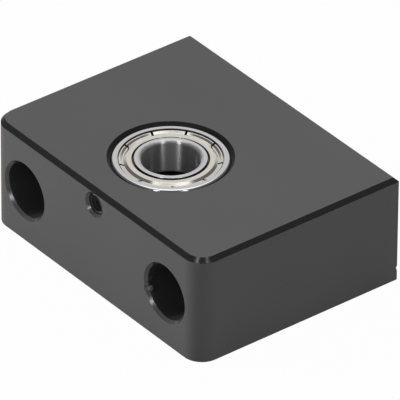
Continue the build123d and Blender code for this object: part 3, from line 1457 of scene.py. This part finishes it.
@dataclass
class Studio:
    """The floor, the lamps, the backdrop and the camera."""

    target: Vector
    ambient: float = 0.12
    mirror: float = 0.86
    wall_edge: float = 0.74
    wall_full: float = 0.93
    wall_foot: float = -0.05
    wall_top: float = 0.12
    dim_colour: str = "#747170"
    wall_colour: str = "#f4f4f2"
    azimuth: float = 51.75081
    elevation: float = 33.75954
    roll: float = 0.40583
    focal_pixels: float = 8776.902
    distance: float = 1169.676
    shift_right: float = 14.13973
    shift_up: float = 12.20709
    frame_pixels: float = 400.0
    sensor: float = 36.0
    nearest: float = 0.01
    furthest: float = 100.0
    floor_size: float = 6000.0
    floor_drop: float = 0.02

    def camera(self, front_middle: Vector) -> None:
        """Set the camera as in the photograph.

        Args:
            front_middle: The foot of the block's front face, at its middle.
        """
        back = direction(self.azimuth - 90, self.elevation)
        level = direction(self.azimuth, 0.0)
        up = back.cross(level)
        tilt, lift = polar(1.0, self.roll)
        right = tilt * level + lift * up
        upward = tilt * up - lift * level
        place = front_middle + back * self.distance
        place += right * self.shift_right + upward * self.shift_up
        lens = bpy.data.cameras.new("camera")
        lens.sensor_width = self.sensor
        lens.lens = self.focal_pixels / self.frame_pixels * self.sensor
        lens.clip_start, lens.clip_end = self.nearest, self.furthest
        made = add_object("camera", lens)
        axes = Matrix((right, upward, back)).transposed().to_4x4()
        made.matrix_world = Matrix.Translation(place * MM) @ axes
        bpy.context.scene.camera = made

    def lamps(self) -> None:
        """Hang the lamps, each turned to the object.

        The two at the sides only light the block: their mirror images would streak the bore.
        """
        for lamp in Lamp:
            around, up, distance, (width, height), power = lamp.value
            out = direction(around, up)
            light = bpy.data.lights.new(lamp.name.lower(), "AREA")
            light.shape = "RECTANGLE"
            light.size, light.size_y = width * MM, height * MM
            light.energy = power
            made = add_object(light.name, light)
            made.visible_glossy = lamp not in (Lamp.LEFT, Lamp.RIGHT)
            facing = out.to_track_quat("Z", "Y").to_matrix().to_4x4()
            made.matrix_world = Matrix.Translation((self.target + out * distance) * MM) @ facing

    def floor(self) -> None:
        """Lay the pale paper floor, near white to the camera, with the object's shadow on it."""
        half, down = self.floor_size / 2 * MM, -self.floor_drop * MM
        corners = [(x * half, y * half, down) for x, y in ((-1, -1), (1, -1), (1, 1), (-1, 1))]
        mesh = bpy.data.meshes.new("floor")
        mesh.from_pydata(corners, [], [(0, 1, 2, 3)])
        mesh.materials.append(Paper().material())
        add_object("floor", mesh)

    def backdrop(self) -> None:
        """Make the tent: white for the camera, a bright wall behind the object for the metal."""
        world = bpy.data.worlds.new("light tent")
        bpy.context.scene.world = world
        world.use_nodes = True
        tree = world.node_tree
        tree.nodes.clear()
        where = add_node(tree, "ShaderNodeTexCoord").outputs["Generated"]
        x, y, z = add_node(tree, "ShaderNodeSeparateXYZ", {"Vector": where}).outputs
        level = add_node(tree, "ShaderNodeCombineXYZ", {"X": x, "Y": y})
        around = add_node(tree, "ShaderNodeVectorMath", {0: level}, operation="NORMALIZE")
        away = direction(self.azimuth + 90, 0.0)
        pair = {0: around, 1: away}
        ahead = add_node(tree, "ShaderNodeVectorMath", pair, operation="DOT_PRODUCT")
        wall, above = (
            add_node(
                tree,
                "ShaderNodeMapRange",
                {"From Min": least, "From Max": most, "Value": value},
                interpolation_type="SMOOTHSTEP",
            )
            for least, most, value in (
                (self.wall_edge, self.wall_full, ahead.outputs["Value"]),
                (self.wall_foot, self.wall_top, z),
            )
        )
        lit = add_node(tree, "ShaderNodeMath", {0: wall, 1: above}, operation="MULTIPLY")
        colours = {MIX_A: linear(self.dim_colour), MIX_B: linear(self.wall_colour), "Factor": lit}
        seen = add_node(tree, "ShaderNodeMix", colours, data_type="RGBA").outputs[MIX_OUT]
        ray = add_node(tree, "ShaderNodeLightPath").outputs
        plain, mirrored, white = (
            add_node(tree, "ShaderNodeBackground", {"Color": colour, "Strength": strength})
            for colour, strength in (
                (linear("#ffffff"), self.ambient),
                (seen, self.mirror),
                (linear("#ffffff"), 1.0),
            )
        )
        gloss = {0: ray["Is Glossy Ray"], 1: plain, 2: mirrored}
        shown = {0: ray["Is Camera Ray"], 1: add_node(tree, "ShaderNodeMixShader", gloss), 2: white}
        tent = add_node(tree, "ShaderNodeMixShader", shown)
        add_node(tree, "ShaderNodeOutputWorld", {"Surface": tent})

    def build(self, front_middle: Vector) -> None:
        """Set everything up.

        Args:
            front_middle: The foot of the block's front face, at its middle.
        """
        self.camera(front_middle)
        self.lamps()
        self.floor()
        self.backdrop()


def node_box(name: str) -> tuple[Vector, Vector]:
    """A CAD node's lowest and highest corners, in millimetres."""
    low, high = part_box(name)
    return low / MM, high / MM


def mount(record: dict[str, Any], name: str) -> dict[str, Any]:
    """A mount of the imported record, by its name."""
    return next(m for m in record["mounts"] if m["name"] == name)


def dress_nodes(nodes: dict[str, Piece]) -> None:
    """Give the balls and the cage, which keep their own meshes, their finish.

    Args:
        nodes: The CAD nodes, by name.
    """
    for name, node in nodes.items():
        finish = BALL_STEEL if name.startswith("ball_") else CAGE_STEEL
        if name.startswith("ball_") or name.endswith("cage_half"):
            node.data.materials.clear()
            node.data.materials.append(finish.material())
            LOG.info("%s: %s", name, finish.name)


def main() -> None:
    """Build every piece in order."""
    logging.basicConfig(level=logging.INFO, format="%(name)s: %(message)s")
    bpy.context.scene.view_settings.view_transform = "Standard"
    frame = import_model()
    record = frame["record"]
    low, high = node_box("bearing_block")
    ring_low, ring_high = node_box("outer_ring")
    ball = node_box("ball_1")
    screw_low, screw_high = node_box("bearing_set_screw")
    centre = (ring_low + ring_high) / 2
    head = mount(record, "right_head_bore")
    bolts = mount(record, "frame_bolts")["dims"]
    spacing = bolts["spacing_x_mm"] / 2
    outer_radius = (ring_high.x - ring_low.x) / 2
    bore_radius = mount(record, "screw_bore")["dims"]["r_mm"]
    tapped_height = (screw_low.z + screw_high.z) / 2

    front_middle = Vector((centre.x, low.y, low.z))
    Studio(target=(low + high) / 2).build(front_middle)
    head_end = head["pos_m"][1] / MM + head["dims"]["length_mm"] / 2
    Block(
        low=low,
        high=high,
        axis=(centre.x, centre.y),
        seat_radius=outer_radius + SEAT_PLAY,
        seat_depth=high.z - ring_low.z,
        passage_radius=mount(record, "screw_passage")["dims"]["r_mm"],
        bolts_x=(-spacing, spacing),
        bolt_height=head["pos_m"][2] / MM,
        head_radius=head["dims"]["r_mm"],
        head_depth=head_end - low.y,
        bolt_radius=bolts["hole_r_mm"],
        tapped_height=tapped_height,
        tapped_radius=TAPPED_RADIUS,
    ).build()
    TappedHole(
        mouth=Vector((centre.x, low.y, tapped_height)),
        screw_front=screw_low.y,
        screw_back=screw_high.y,
    ).build()
    Bearing(
        centre=centre,
        bore_radius=bore_radius,
        outer_radius=outer_radius,
        half_width=(ring_high.z - ring_low.z) / 2,
        ball_radius=(ball[1].z - ball[0].z) / 2,
    ).build()
    dress_nodes(frame["nodes"])


if __name__ == "__main__":
    main()
